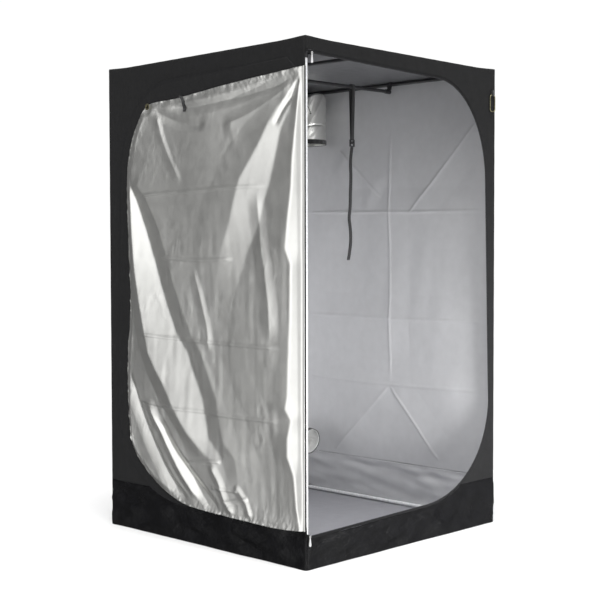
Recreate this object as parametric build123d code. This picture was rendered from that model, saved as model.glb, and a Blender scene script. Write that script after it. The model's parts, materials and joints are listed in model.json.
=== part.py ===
from build123d import *
import math
import os

# A fabric enclosure tent: a tube frame in corner connectors, a zipped cover over it,
# one D-shaped front door folded back on the left wall, two duct sleeves and a hanging strap.
# Millimetres. +Z is up, the front (door opening) faces -Y, and the origin is the middle of the base.

# ---- driving dimensions ----
WIDTH = 1200.0
DEPTH = 1200.0
HEIGHT = 2000.0
HALF_X = WIDTH / 2
HALF_Y = DEPTH / 2

CLOTH = 2.0  # canvas with its lining
SKIRT_HEIGHT = 200.0  # coated band round the foot of the cover

TUBE_R = 8.0
TUBE_WALL = 1.0
SOCKET_R = 10.5  # outside of a corner connector's sockets
SOCKET_GAP = 0.1  # round a tube in its socket
SOCKET_LENGTH = 45.0
SOCKET_START = 11.0  # from the corner point to the tube's end
FRAME_INSET = CLOTH + 2.0 + SOCKET_R  # from the cover's outer face to a tube's axis
FRAME_LIFT = CLOTH + 0.2 + SOCKET_R  # the same above the floor and below the roof
AXIS_X = HALF_X - FRAME_INSET
AXIS_Y = HALF_Y - FRAME_INSET
LOW_Z = FRAME_LIFT
HIGH_Z = HEIGHT - FRAME_LIFT
POST_SPLIT_Z = HEIGHT / 2
SPIGOT_LENGTH = 40.0

# Ceiling bars: bar A runs front to back, bar B runs left to right below it.
BAR_A_X = -225.0
BAR_B_Y = -10.0
BAR_A_Z = 1976.0
BAR_B_Z = 1954.0
BAR_END_GAP = 9.0  # from a rail's axis to the bar's end
CLIP_R = 10.7
CLIP_GAP = 0.3
CLIP_WIDTH = 20.0
CLIP_SOCKET_LENGTH = 27.0

# D opening in the front. The straight side is the left front corner.
OPEN_TOP_LEFT_Z = 1950.0
OPEN_TOP_RIGHT = (190.0, 1925.0)
OPEN_SIDE_TOP = (528.0, 1520.0)
OPEN_SIDE_LOW = (556.0, 548.0)
OPEN_FOOT_RIGHT = (100.0, 147.0)
OPEN_FOOT_LEFT_Z = 130.0
OPEN_TOP_PULL = (205.0, 200.0)  # how far the upper curve's handles reach
OPEN_FOOT_PULL = (300.0, 190.0)
OPEN_TOP_DIP = 6.0
OPEN_SIDE_LEAN = 4.0
ZIP_TAPE = 12.0  # width of one side's tape
ZIP_GAP = 3.0  # between the two tapes' edges
DOOR_TAPE_BAND = 14.0

DOOR_CLEAR = 1.0  # between the door and the cover's outer face
DOOR_AXIS = (-HALF_X - DOOR_CLEAR - CLOTH / 2, -HALF_Y - DOOR_CLEAR - CLOTH / 2)
DOOR_NOTCH_TOP = ((-HALF_X, 1900.0), (-552.0, 1900.0), (-505.0, 1943.0))
DOOR_NOTCH_FOOT = ((-540.0, 137.0), (-566.0, 152.0), (-HALF_X, 152.0))
HINGE_WELT_R = 1.2

# Zip sliders, parked at the hinge corner of their straight runs.
SLIDER_TOP_X = -575.0
SLIDER_FOOT_X = -589.0
SLIDER_SIZE = (16.0, 12.0)  # along and across the zip
SLIDER_CAVITY = (-603.6, -597.4)  # in Y, between the slider's two plates
SLIDER_PLATE = 1.1
SLIDER_POST = (4.0, 1.8)
PULL_LENGTH = 34.0
PULL_WIDTH = 12.0
PULL_THICK = 2.4
PULL_EYE_R = 2.4
BAIL_R = 1.3

# Door hang-back hardware, on the left wall and the door's corner. Points are (y, z).
EYELET_AT = (328.0, 1819.0)
EYELET_R = 14.0
EYELET_HOLE_R = 7.5
PEG_R = 2.5
PEG_REACH = 10.0
TIE_TOP = (100.0, 1842.0)
TIE_FOOT = (77.0, 1790.0)
TIE_SIZE = (16.0, 1.6)

# Carabiner on its webbing loop at the right front corner.
CARABINER_X = 572.0
CARABINER_TOP_Z = 1888.0
CARABINER_SIZE = (34.0, 72.0)
CARABINER_WIRE_R = 2.2
CARABINER_Y = -HALF_Y - 6.0
GATE_R = 1.9
GATE_GAP = 0.9  # between the gate's ends and the wire's
GATE_PIN_R = 1.2
GATE_PIN_HALF = 2.6
LOOP_OUTER = (27.8, 11.2)  # the webbing loop's height and depth
LOOP_INNER = (25.0, 8.4)
LOOP_WIDTH = 10.0

# Duct sleeves on the back wall.
SLEEVE_UP_X = 455.0
SLEEVE_UP_Z = 1865.0
SLEEVE_UP_R = 100.0
SLEEVE_UP_Y = 420.0  # axis of the part that hangs down
SLEEVE_UP_END_Z = 1722.0
SLEEVE_LOW_X = 460.0
SLEEVE_LOW_Z = 290.0
SLEEVE_LOW_R = 62.0
SLEEVE_LOW_LENGTH = 203.0
HEM_WIDTH = 20.0
COLLAR_WIDTH = 12.0

# Hanging strap over bar B.
STRAP_X = 315.0
STRAP_WIDTH = 20.0
STRAP_THICK = 1.6
STRAP_GAP = 0.5  # between the strap and the bar it hangs on
BUCKLE_TOP_Z = 1716.0
BUCKLE_SIZE = (28.0, 8.0, 34.0)
BUCKLE_PIN_R = 2.0

# Drawstring of the upper sleeve: it hangs from its lock down the sleeve's front.
# Each point is (angle round the sleeve's axis, distance from that axis, z).
CORD_D = 2.5
CORD_LOCK_R = 6.0
CORD_LOCK_LENGTH = 18.0
CORD_LOCK_AT = (223.0, 106.6, 1922.0)
DRAWSTRING = [
    (223.0, 106.6, 1921.5),
    (225.0, 105.5, 1911.0),
    (229.0, 103.5, 1901.0),
    (234.0, 103.0, 1888.0),
    (237.5, 104.0, 1867.0),
]

TRAY_HALF = 560.0
TRAY_THICK = 3.0

CORNERS = {
    "front_left": (-1, -1),
    "front_right": (1, -1),
    "back_left": (-1, 1),
    "back_right": (1, 1),
}


def save(shape, name):
    export_step(shape, f"parts/{name}.step")


def block(x0, x1, y0, y1, z0, z1):
    size = (x1 - x0, y1 - y0, z1 - z0)
    return Pos((x0 + x1) / 2, (y0 + y1) / 2, (z0 + z1) / 2) * Box(*size)


def rod(start, direction, length, radius):
    """A cylinder from start along direction."""
    return extrude(Plane(origin=start, z_dir=direction) * Circle(radius), length)


def pipe(start, direction, length, outer, inner):
    return rod(start, direction, length, outer) - rod(start, direction, length, inner)


def group(solids):
    return Compound(children=list(solids))


def front_plate(face, outer_y, thick):
    """A face drawn in (x, z) made solid, from outer_y back towards +Y."""
    return extrude(Plane(origin=(0, outer_y, 0), x_dir=(1, 0, 0), z_dir=(0, -1, 0)) * face, -thick)


# ---- frame ----
def connector(sx, sy, at_top):
    """Three sockets on a rounded corner block."""
    corner = (sx * AXIS_X, sy * AXIS_Y, HIGH_Z if at_top else LOW_Z)
    ways = [(-sx, 0, 0), (0, -sy, 0), (0, 0, -1 if at_top else 1)]
    body = Pos(*corner) * Sphere(SOCKET_R)
    for way in ways:
        body += rod(corner, way, SOCKET_START + SOCKET_LENGTH, SOCKET_R)
    for way in ways:
        start = tuple(c + w * SOCKET_START for c, w in zip(corner, way))
        body -= rod(start, way, SOCKET_LENGTH + 1, TUBE_R + SOCKET_GAP)
    return body


def make_frame():
    for name, at_top in (("corner_connectors_bottom", False), ("corner_connectors_top", True)):
        save(group(connector(sx, sy, at_top) for sx, sy in CORNERS.values()), name)
    bore = TUBE_R - TUBE_WALL
    for name, (sx, sy) in CORNERS.items():
        foot = (sx * AXIS_X, sy * AXIS_Y, LOW_Z + SOCKET_START)
        lower = pipe(foot, (0, 0, 1), POST_SPLIT_Z - foot[2], TUBE_R, bore)
        save(lower, f"post_lower_{name}")
        split = (foot[0], foot[1], POST_SPLIT_Z)
        upper = pipe(split, (0, 0, 1), HIGH_Z - SOCKET_START - POST_SPLIT_Z, TUBE_R, bore)
        low_end = (foot[0], foot[1], POST_SPLIT_Z - SPIGOT_LENGTH)
        spigot_bore = bore - TUBE_WALL
        upper += pipe(low_end, (0, 0, 1), SPIGOT_LENGTH + 5, bore - SOCKET_GAP, spigot_bore)
        upper += pipe(split, (0, 0, 1), 5, bore + 0.3, spigot_bore)
        save(upper, f"post_upper_{name}")
    reach_x = AXIS_X - SOCKET_START
    reach_y = AXIS_Y - SOCKET_START
    for level, z in (("bottom", LOW_Z), ("top", HIGH_Z)):
        for side, sy in (("front", -1), ("back", 1)):
            rail = pipe((-reach_x, sy * AXIS_Y, z), (1, 0, 0), 2 * reach_x, TUBE_R, bore)
            save(rail, f"rail_{level}_{side}")
        for side, sx in (("left", -1), ("right", 1)):
            rail = pipe((sx * AXIS_X, -reach_y, z), (0, 1, 0), 2 * reach_y, TUBE_R, bore)
            save(rail, f"rail_{level}_{side}")


def bar_clip(half_span, bar_z):
    """The clip at a bar's +X end: a C round the rail and a socket for the bar."""
    ring_start = (half_span, -CLIP_WIDTH / 2, HIGH_Z)
    bore_r = TUBE_R + CLIP_GAP
    inner_x = half_span - BAR_END_GAP
    socket_x = inner_x - CLIP_SOCKET_LENGTH
    clip = rod(ring_start, (0, 1, 0), CLIP_WIDTH, CLIP_R)
    web_z = bar_z + bore_r + 0.6
    clip += block(inner_x - 3, half_span - 4, -CLIP_WIDTH / 2, CLIP_WIDTH / 2, web_z, HIGH_Z + 6)
    clip += rod((socket_x, 0, bar_z), (1, 0, 0), CLIP_SOCKET_LENGTH + 3, SOCKET_R)
    clip -= rod((half_span, -CLIP_WIDTH, HIGH_Z), (0, 1, 0), 2 * CLIP_WIDTH, bore_r)
    clip -= rod((socket_x - 1, 0, bar_z), (1, 0, 0), CLIP_SOCKET_LENGTH + 1, bore_r)
    mouth = block(half_span, half_span + 30, -CLIP_WIDTH, CLIP_WIDTH, HIGH_Z - 30, HIGH_Z - 2)
    return clip - mouth


def make_ceiling_bars():
    bore = TUBE_R - TUBE_WALL
    bar_a = (BAR_A_X, 0, BAR_A_Z)
    bar_b = (0, BAR_B_Y, BAR_B_Z)
    for name, centre, half_span, bar_turn, clip_turns in (
        ("ceiling_bar_a", bar_a, AXIS_Y, 90, {"back": 90, "front": 270}),
        ("ceiling_bar_b", bar_b, AXIS_X, 0, {"right": 0, "left": 180}),
    ):
        reach = half_span - BAR_END_GAP - 1
        bar = pipe((-reach, 0, 0), (1, 0, 0), 2 * reach, TUBE_R, bore)
        save(Pos(*centre) * Rot(0, 0, bar_turn) * bar, name)
        for end, turn in clip_turns.items():
            clip = Rot(0, 0, turn) * bar_clip(half_span, centre[2])
            save(Pos(centre[0], centre[1], 0) * clip, f"{name}_clip_{end}")


# ---- cover ----
def opening_face(grow=0.0, notched=False):
    """The D opening in (x, z), made larger all round its curved side by grow."""
    top_right = (OPEN_TOP_RIGHT[0], OPEN_TOP_RIGHT[1] + grow)
    side_top = (OPEN_SIDE_TOP[0] + grow, OPEN_SIDE_TOP[1])
    side_low = (OPEN_SIDE_LOW[0] + grow, OPEN_SIDE_LOW[1])
    foot_right = (OPEN_FOOT_RIGHT[0], OPEN_FOOT_RIGHT[1] - grow)
    upper = Bezier(
        top_right,
        (top_right[0] + OPEN_TOP_PULL[0], top_right[1] - OPEN_TOP_DIP),
        (side_top[0] - OPEN_SIDE_LEAN, side_top[1] + OPEN_TOP_PULL[1]),
        side_top,
    )
    lower = Bezier(
        side_low,
        (side_low[0] - OPEN_SIDE_LEAN, side_low[1] - OPEN_FOOT_PULL[1]),
        (foot_right[0] + OPEN_FOOT_PULL[0], foot_right[1]),
        foot_right,
    )
    if notched:
        hinge_side = [*DOOR_NOTCH_FOOT, *DOOR_NOTCH_TOP]
    else:
        hinge_side = [(-HALF_X, OPEN_FOOT_LEFT_Z - grow), (-HALF_X, OPEN_TOP_LEFT_Z + grow)]
    left = Polyline(foot_right, *hinge_side, top_right)
    return make_face(Wire([*left.edges(), upper, Line(side_top, side_low), lower]))


def make_cover():
    inner_x = HALF_X - CLOTH
    inner_y = HALF_Y - CLOTH
    save(block(-HALF_X, HALF_X, -HALF_Y, HALF_Y, HEIGHT - CLOTH, HEIGHT), "roof")
    save(block(-inner_x, inner_x, -inner_y, inner_y, 0, CLOTH), "floor")
    top = HEIGHT - CLOTH
    save(block(-HALF_X, -inner_x, -HALF_Y, HALF_Y, SKIRT_HEIGHT, top), "wall_left")
    save(block(inner_x, HALF_X, -HALF_Y, HALF_Y, SKIRT_HEIGHT, top), "wall_right")
    save(block(-HALF_X, -inner_x, -HALF_Y, HALF_Y, 0, SKIRT_HEIGHT), "skirt_left")
    save(block(inner_x, HALF_X, -HALF_Y, HALF_Y, 0, SKIRT_HEIGHT), "skirt_right")
    back = block(-inner_x, inner_x, inner_y, HALF_Y, SKIRT_HEIGHT, top)
    for x, z, radius in (
        (SLEEVE_UP_X, SLEEVE_UP_Z, SLEEVE_UP_R),
        (SLEEVE_LOW_X, SLEEVE_LOW_Z, SLEEVE_LOW_R),
    ):
        back -= rod((x, inner_y - 5, z), (0, 1, 0), CLOTH + 10, radius - CLOTH)
    save(back, "wall_back")
    save(block(-inner_x, inner_x, inner_y, HALF_Y, 0, SKIRT_HEIGHT), "skirt_back")
    cut = front_plate(opening_face(ZIP_TAPE), -HALF_Y - 5, CLOTH + 10)
    surround = block(-inner_x, inner_x, -HALF_Y, -inner_y, SKIRT_HEIGHT, top) - cut
    save(surround, "front_surround")
    sill = block(-inner_x, inner_x, -HALF_Y, -inner_y, 0, SKIRT_HEIGHT) - cut
    save(sill, "skirt_front")
    tape_face = opening_face(ZIP_TAPE) - opening_face()
    tape = front_plate(tape_face, -HALF_Y, CLOTH)
    tape = tape & block(-inner_x, inner_x, -HALF_Y - 1, -inner_y + 1, 0, HEIGHT)
    save(tape, "zip_tape_frame")


# ---- door, drawn closed and then swung back against the left wall ----
def swung_back(shape):
    """Turns a closed door piece by -270 degrees about the hinge seam, to where it rests."""
    seam = Pos(DOOR_AXIS[0], DOOR_AXIS[1], 0)
    return seam * Rot(0, 0, -270) * seam.inverse() * shape


def make_door():
    outer_y = DOOR_AXIS[1] - CLOTH / 2
    panel = front_plate(opening_face(-ZIP_GAP - DOOR_TAPE_BAND, notched=True), outer_y, CLOTH)
    whole = front_plate(opening_face(-ZIP_GAP, notched=True), outer_y, CLOTH)
    tape_limit = block(DOOR_NOTCH_TOP[2][0] - 40, HALF_X, outer_y - 1, outer_y + 5, 0, HEIGHT)
    tape = (whole - panel) & tape_limit
    hole = rod((-HALF_X - 20, EYELET_AT[0], EYELET_AT[1]), (1, 0, 0), 40, EYELET_HOLE_R)
    save(swung_back(panel) - hole, "door_panel")
    save(swung_back(tape), "zip_tape_door")
    face_x = DOOR_AXIS[0] - CLOTH / 2
    eyelet_start = (face_x - 1.5, EYELET_AT[0], EYELET_AT[1])
    save(pipe(eyelet_start, (1, 0, 0), 1.5, EYELET_R, EYELET_HOLE_R), "door_eyelet")
    lean = math.degrees(math.atan2(TIE_TOP[0] - TIE_FOOT[0], TIE_TOP[1] - TIE_FOOT[1]))
    length = math.dist(TIE_TOP, TIE_FOOT)
    strap = Box(TIE_SIZE[1], TIE_SIZE[0], length)
    middle = ((TIE_TOP[0] + TIE_FOOT[0]) / 2, (TIE_TOP[1] + TIE_FOOT[1]) / 2)
    save(Pos(face_x - TIE_SIZE[1] / 2, *middle) * Rot(-lean, 0, 0) * strap, "door_tie_strap")
    welt_z = (DOOR_NOTCH_FOOT[2][1], DOOR_NOTCH_TOP[0][1])
    welt = rod((*DOOR_AXIS, welt_z[0]), (0, 0, 1), welt_z[1] - welt_z[0], HINGE_WELT_R)
    save(welt, "door_hinge_welt")
    plate = rod((-HALF_X, EYELET_AT[0], EYELET_AT[1]), (-1, 0, 0), 0.6, 6.0)
    stem = rod((-HALF_X, EYELET_AT[0], EYELET_AT[1]), (-1, 0, 0), PEG_REACH, PEG_R)
    lip_x = -HALF_X - PEG_REACH + PEG_R
    lip = rod((lip_x, EYELET_AT[0], EYELET_AT[1]), (0, 0, 1), 4.0, PEG_R)
    save(plate + stem + lip, "door_hook")


# ---- zip sliders and pulls ----
def zip_run(at_top):
    """The straight run's line as (z at x, slope)."""
    if at_top:
        end, start_z = OPEN_TOP_RIGHT, OPEN_TOP_LEFT_Z
    else:
        end, start_z = OPEN_FOOT_RIGHT, OPEN_FOOT_LEFT_Z
    return start_z, (end[1] - start_z) / (end[0] + HALF_X)


def make_slider(name, x, at_top):
    start_z, slope = zip_run(at_top)
    z = start_z + slope * (x + HALF_X)
    inward = -1 if at_top else 1  # from the frame's tape towards the door's
    long, across = SLIDER_SIZE
    front, back = SLIDER_CAVITY
    plate = Box(long, SLIDER_PLATE, across)
    plate = fillet(plate.edges().filter_by(Axis.Y), 3.5)
    body = Pos(0, front - SLIDER_PLATE / 2, 0) * plate
    body += Pos(0, back + SLIDER_PLATE / 2, 0) * plate
    wedge = block(-SLIDER_POST[0] / 2, SLIDER_POST[0] / 2, front - 0.5, back + 0.5, 0, SLIDER_POST[1])
    body += Pos(0, 0, inward * ZIP_GAP / 2 - SLIDER_POST[1] / 2) * wedge
    bail_y = front - SLIDER_PLATE
    for side in (-1, 1):
        body += Pos(side * 5.0, bail_y - 1.5, 0) * Box(2.0, 4.0, 3.0)
    bail_bar = rod((-6.0, bail_y - 2.2, 0), (1, 0, 0), 12.0, BAIL_R)
    tilt = -math.degrees(math.atan(slope))
    place = Pos(x, 0, z) * Rot(0, tilt, 0)
    save(place * (body + bail_bar), f"zip_slider_{name}")
    eye_y = bail_y - 2.2
    ring = pipe((0, -PULL_THICK / 2, 0), (0, 1, 0), PULL_THICK, PULL_EYE_R + 2.2, PULL_EYE_R)
    tail = PULL_LENGTH - PULL_WIDTH / 2
    drop = make_hull([*Circle(2.0).edges(), *(Pos(0, -tail) * Circle(PULL_WIDTH / 2)).edges()])
    leaf = extrude(Plane(origin=(0, 0, 0), x_dir=(1, 0, 0), z_dir=(0, -1, 0)) * drop, PULL_THICK / 2, both=True)
    leaf = Pos(0, 0, -PULL_EYE_R - 2.0) * leaf
    pull = (leaf + ring) - rod((0, -PULL_THICK, 0), (0, 1, 0), 2 * PULL_THICK, PULL_EYE_R)
    save(Pos(x, eye_y - PULL_THICK / 2 - BAIL_R - 0.4, z) * pull, f"zip_pull_{name}")


# ---- carabiner ----
def make_carabiner():
    half_w = CARABINER_SIZE[0] / 2
    height = CARABINER_SIZE[1]
    left, right = -half_w, half_w
    gate_top, gate_low = -15.0, -height + 15.0
    path = FilletPolyline(
        (left, 0, gate_top),
        (left, 0, 0),
        (right, 0, 0),
        (right, 0, -height),
        (left, 0, -height),
        (left, 0, gate_low),
        radius=11.0,
    )
    profile = Plane(origin=path @ 0, z_dir=path % 0) * Circle(CARABINER_WIRE_R)
    place = Pos(CARABINER_X, CARABINER_Y, CARABINER_TOP_Z)
    save(place * sweep(profile, path=path), "carabiner")
    gate_start = gate_low + GATE_GAP
    gate = rod((left, 0, gate_start), (0, 0, 1), gate_top - gate_low - 2 * GATE_GAP, GATE_R)
    gate += rod((left, -GATE_PIN_HALF, gate_start + GATE_R), (0, 1, 0), 2 * GATE_PIN_HALF, GATE_PIN_R)
    save(place * gate, "carabiner_gate")
    outer = Plane.YZ * SlotOverall(*LOOP_OUTER, rotation=90)
    inner = Plane.YZ * SlotOverall(*LOOP_INNER, rotation=90)
    loop = extrude(outer - inner, LOOP_WIDTH / 2, both=True)
    loop_y = -HALF_Y - LOOP_OUTER[1] / 2 - 0.1
    loop_z = CARABINER_TOP_Z + LOOP_INNER[0] / 2 - CARABINER_WIRE_R - 1.2
    save(Pos(CARABINER_X, loop_y, loop_z) * loop, "carabiner_loop")


# ---- duct sleeves ----
def elbow(radius, wall_y):
    """A round sleeve from the back wall inwards that turns down at a mitre, filled."""
    x, z = SLEEVE_UP_X, SLEEVE_UP_Z
    path = Polyline((x, wall_y, z), (x, SLEEVE_UP_Y, z), (x, SLEEVE_UP_Y, SLEEVE_UP_END_Z))
    disc = Plane(origin=(x, wall_y, z), z_dir=(0, -1, 0)) * Circle(radius)
    return sweep(disc, path=path, transition=Transition.RIGHT)


def make_sleeves():
    wall_y = HALF_Y - CLOTH
    save(elbow(SLEEVE_UP_R, wall_y) - elbow(SLEEVE_UP_R - CLOTH, wall_y), "duct_sleeve_upper")
    hem_foot = (SLEEVE_UP_X, SLEEVE_UP_Y, SLEEVE_UP_END_Z)
    hem = pipe(hem_foot, (0, 0, 1), HEM_WIDTH, SLEEVE_UP_R + CLOTH, SLEEVE_UP_R)
    save(hem, "sleeve_hem_upper")
    start = (SLEEVE_LOW_X, wall_y, SLEEVE_LOW_Z)
    low = pipe(start, (0, -1, 0), SLEEVE_LOW_LENGTH, SLEEVE_LOW_R, SLEEVE_LOW_R - CLOTH)
    save(low, "duct_sleeve_lower")
    hem_y = wall_y - SLEEVE_LOW_LENGTH
    hem_start = (SLEEVE_LOW_X, hem_y, SLEEVE_LOW_Z)
    hem = pipe(hem_start, (0, 1, 0), HEM_WIDTH, SLEEVE_LOW_R + CLOTH, SLEEVE_LOW_R)
    save(hem, "sleeve_hem_lower")
    ports = ((SLEEVE_UP_X, SLEEVE_UP_Z, SLEEVE_UP_R), (SLEEVE_LOW_X, SLEEVE_LOW_Z, SLEEVE_LOW_R))
    collars = [
        pipe((x, HALF_Y, z), (0, 1, 0), CLOTH, radius + COLLAR_WIDTH, radius)
        for x, z, radius in ports
    ]
    save(group(collars), "port_collars")


# ---- cords: runs joined by tangent arcs ----
def route_radii(points):
    radii = []
    for a, b, c in zip(points, points[1:], points[2:]):
        run_in = Vector(*b) - Vector(*a)
        run_out = Vector(*c) - Vector(*b)
        turn = math.radians(run_in.get_angle(run_out))
        radii.append(0.45 * min(run_in.length, run_out.length) / math.tan(turn / 2))
    print("route radii", [round(r, 1) for r in radii])
    return radii


def cord_path(points):
    return FilletPolyline(*points, radius=route_radii(points))


def strap_from(path, width, thick):
    """A flat strap whose width lies along X, with its path in a plane of constant X."""
    start = Plane(origin=path @ 0, x_dir=(1, 0, 0), z_dir=path % 0)
    return sweep(start * Rectangle(width, thick), path=path)


STRAP_TAIL = [
    (STRAP_X, -10.0, 1681.2),
    (STRAP_X, -2.5, 1645.0),
    (STRAP_X, -0.5, 1595.0),
    (STRAP_X, -3.5, 1548.0),
    (STRAP_X, 0.0, 1475.0),
    (STRAP_X, 1.0, 1405.0),
    (STRAP_X, 9.5, 1357.0),
    (STRAP_X, 1.5, 1318.0),
    (STRAP_X, -3.0, 1272.0),
    (STRAP_X, 1.5, 1215.0),
    (STRAP_X, 13.0, 1165.0),
]


def make_hanging_strap():
    inner_r = TUBE_R + STRAP_GAP
    middle_r = inner_r + STRAP_THICK / 2
    pin_z = BUCKLE_TOP_Z - 6.0
    taper_z = BUCKLE_TOP_Z + 0.3
    y = BAR_B_Y
    left = Line((STRAP_X, y - 2.6, taper_z), (STRAP_X, y - middle_r, BAR_B_Z))
    over = ThreePointArc(
        (STRAP_X, y - middle_r, BAR_B_Z),
        (STRAP_X, y, BAR_B_Z + middle_r),
        (STRAP_X, y + middle_r, BAR_B_Z),
    )
    right = Line((STRAP_X, y + middle_r, BAR_B_Z), (STRAP_X, y + 2.6, taper_z))
    path = Wire([left, over, right])
    plane = Plane(origin=path @ 0, x_dir=(1, 0, 0), z_dir=path % 0)
    loop = sweep(plane * Rectangle(STRAP_WIDTH, STRAP_THICK), path=path, transition=Transition.RIGHT)
    save(loop, "strap_loop")
    width, deep, tall = BUCKLE_SIZE
    shell = Pos(STRAP_X, y, BUCKLE_TOP_Z - tall / 2) * Box(width, deep, tall)
    shell = fillet(shell.edges().filter_by(Axis.Y), 4.0)
    throat = block(STRAP_X - STRAP_WIDTH / 2 - 1, STRAP_X + STRAP_WIDTH / 2 + 1, y - deep, y + deep, 0, 8)
    upper_window = Pos(0, 0, BUCKLE_TOP_Z - 12) * throat
    lower_window = Pos(0, 0, BUCKLE_TOP_Z - tall + 5) * throat
    buckle = shell - upper_window - lower_window
    buckle += rod((STRAP_X - width / 2 + 1, y, pin_z - 2), (1, 0, 0), width - 2, BUCKLE_PIN_R)
    save(buckle, "strap_buckle")
    save(strap_from(cord_path(STRAP_TAIL), STRAP_WIDTH, STRAP_THICK), "strap_tail")


def round_sleeve(angle, reach, z):
    turn = math.radians(angle)
    return (SLEEVE_UP_X + reach * math.cos(turn), SLEEVE_UP_Y + reach * math.sin(turn), z)


def make_drawstring():
    path = cord_path([round_sleeve(*point) for point in DRAWSTRING])
    profile = Plane(origin=path @ 0, z_dir=path % 0) * Circle(CORD_D / 2)
    save(sweep(profile, path=path), "drawstring_upper")
    lock = rod(round_sleeve(*CORD_LOCK_AT), (0, 0, 1), CORD_LOCK_LENGTH, CORD_LOCK_R)
    save(lock, "cord_lock_upper")


def make_tray():
    tray = block(-TRAY_HALF, TRAY_HALF, -TRAY_HALF, TRAY_HALF, CLOTH + 0.3, CLOTH + 0.3 + TRAY_THICK)
    save(tray, "floor_tray")


os.makedirs("parts", exist_ok=True)
make_frame()
make_ceiling_bars()
make_cover()
make_door()
make_slider("top", SLIDER_TOP_X, True)
make_slider("foot", SLIDER_FOOT_X, False)
make_carabiner()
make_sleeves()
make_hanging_strap()
make_drawstring()
make_tray()
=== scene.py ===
import functools
import itertools
import json
import math

import bmesh
import bpy
import numpy as np
from mathutils import Matrix, Vector


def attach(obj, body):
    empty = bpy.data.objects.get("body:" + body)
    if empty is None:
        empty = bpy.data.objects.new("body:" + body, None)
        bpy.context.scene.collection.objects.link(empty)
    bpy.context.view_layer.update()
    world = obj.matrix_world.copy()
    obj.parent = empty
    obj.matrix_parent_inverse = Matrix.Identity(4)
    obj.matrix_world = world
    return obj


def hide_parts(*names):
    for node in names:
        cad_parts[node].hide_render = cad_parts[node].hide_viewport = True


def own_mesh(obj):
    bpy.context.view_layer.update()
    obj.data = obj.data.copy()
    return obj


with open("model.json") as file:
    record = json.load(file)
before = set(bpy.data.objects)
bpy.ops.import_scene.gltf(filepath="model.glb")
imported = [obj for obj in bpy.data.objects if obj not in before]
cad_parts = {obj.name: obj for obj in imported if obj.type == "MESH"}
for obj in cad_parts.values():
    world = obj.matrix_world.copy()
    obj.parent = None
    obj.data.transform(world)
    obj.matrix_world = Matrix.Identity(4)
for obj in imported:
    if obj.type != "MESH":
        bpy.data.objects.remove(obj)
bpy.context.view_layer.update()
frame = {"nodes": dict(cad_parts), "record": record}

# The tent's own sizes, in metres. The front faces -Y and the door rests on the left wall.
HALF = 0.6
TOP = 2.0
SKIRT = 0.2
EDGE_R = 0.009  # round of the cover's edges
SKIN = 0.0018  # canvas with its lining
ZIP_TAPE = 0.012  # width of the zip's tape
ZIP_END = -0.597  # x at which the zip stops beside the hinge
DOOR_FACE = -0.603  # x of the door's canvas at rest
WALL_INSIDE = 0.598  # how far out the walls' inner faces are
FAR = 9.0  # past every edge


# ---------------------------------------------------------------- numbers
def smooth(t):
    t = np.clip(t, 0, 1)
    return t * t * (3 - 2 * t)


def window(u, low, high, fade):
    """1 inside the span, falling to 0 over fade at both of its ends."""
    return smooth((u - low) / fade) * smooth((high - u) / fade)


def lattice(u, v, cell_u, cell_v, seed):
    """Smooth noise from -1 to 1 with features about one cell in size."""
    table = np.random.default_rng(seed).uniform(-1, 1, (64, 64))
    a, b = u / cell_u + 17.3, v / cell_v + 11.1  # so that 0 isn't a lattice point
    i, j = np.floor(a).astype(int), np.floor(b).astype(int)
    s, t = smooth(a - i), smooth(b - j)

    def at(k, m):
        return table[k % 64, m % 64]

    low = (1 - s) * at(i, j) + s * at(i + 1, j)
    high = (1 - s) * at(i, j + 1) + s * at(i + 1, j + 1)
    return (1 - t) * low + t * high


def crumple(u, v, size, seed):
    """Noise with sharp ridges, as thin film makes when it has been folded up."""
    total = 0
    for k in range(3):
        turn = 0.6 + 1.1 * k
        a = u * math.cos(turn) - v * math.sin(turn)
        b = u * math.sin(turn) + v * math.cos(turn)
        cell = size / 1.7**k
        total = total + (0.5 - np.abs(lattice(a, b, cell, cell * 1.6, seed + k))) / 1.5**k
    return total / 1.4


def sampled(points, n):
    """The points of a smooth curve through the given ones, evenly spaced."""
    p = np.asarray(points, float)
    q = np.vstack([2 * p[0] - p[1], p, 2 * p[-1] - p[-2]])
    out = []
    for k in range(1, len(q) - 2):
        a, b, c, d = q[k - 1 : k + 3]
        for t in np.linspace(0, 1, 12, endpoint=False):
            square = (2 * a - 5 * b + 4 * c - d) * t**2
            cube = (3 * b - a - 3 * c + d) * t**3
            out.append(0.5 * (2 * b + (c - a) * t + square + cube))
    return even(np.array([*out, p[-1]]), n)


def even(line, n):
    """n points at equal steps along a line."""
    steps = np.linalg.norm(np.diff(line, axis=0), axis=1)
    along = np.concatenate([[0], np.cumsum(steps)])
    want = np.linspace(0, along[-1], n)
    return np.stack([np.interp(want, along, line[:, k]) for k in range(line.shape[1])], axis=1)


def along_route(value, along):
    """A value that is one number, or (at the route's start, at its end)."""
    start, end = np.broadcast_to(value, 2)
    return start + (end - start) * along


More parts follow.
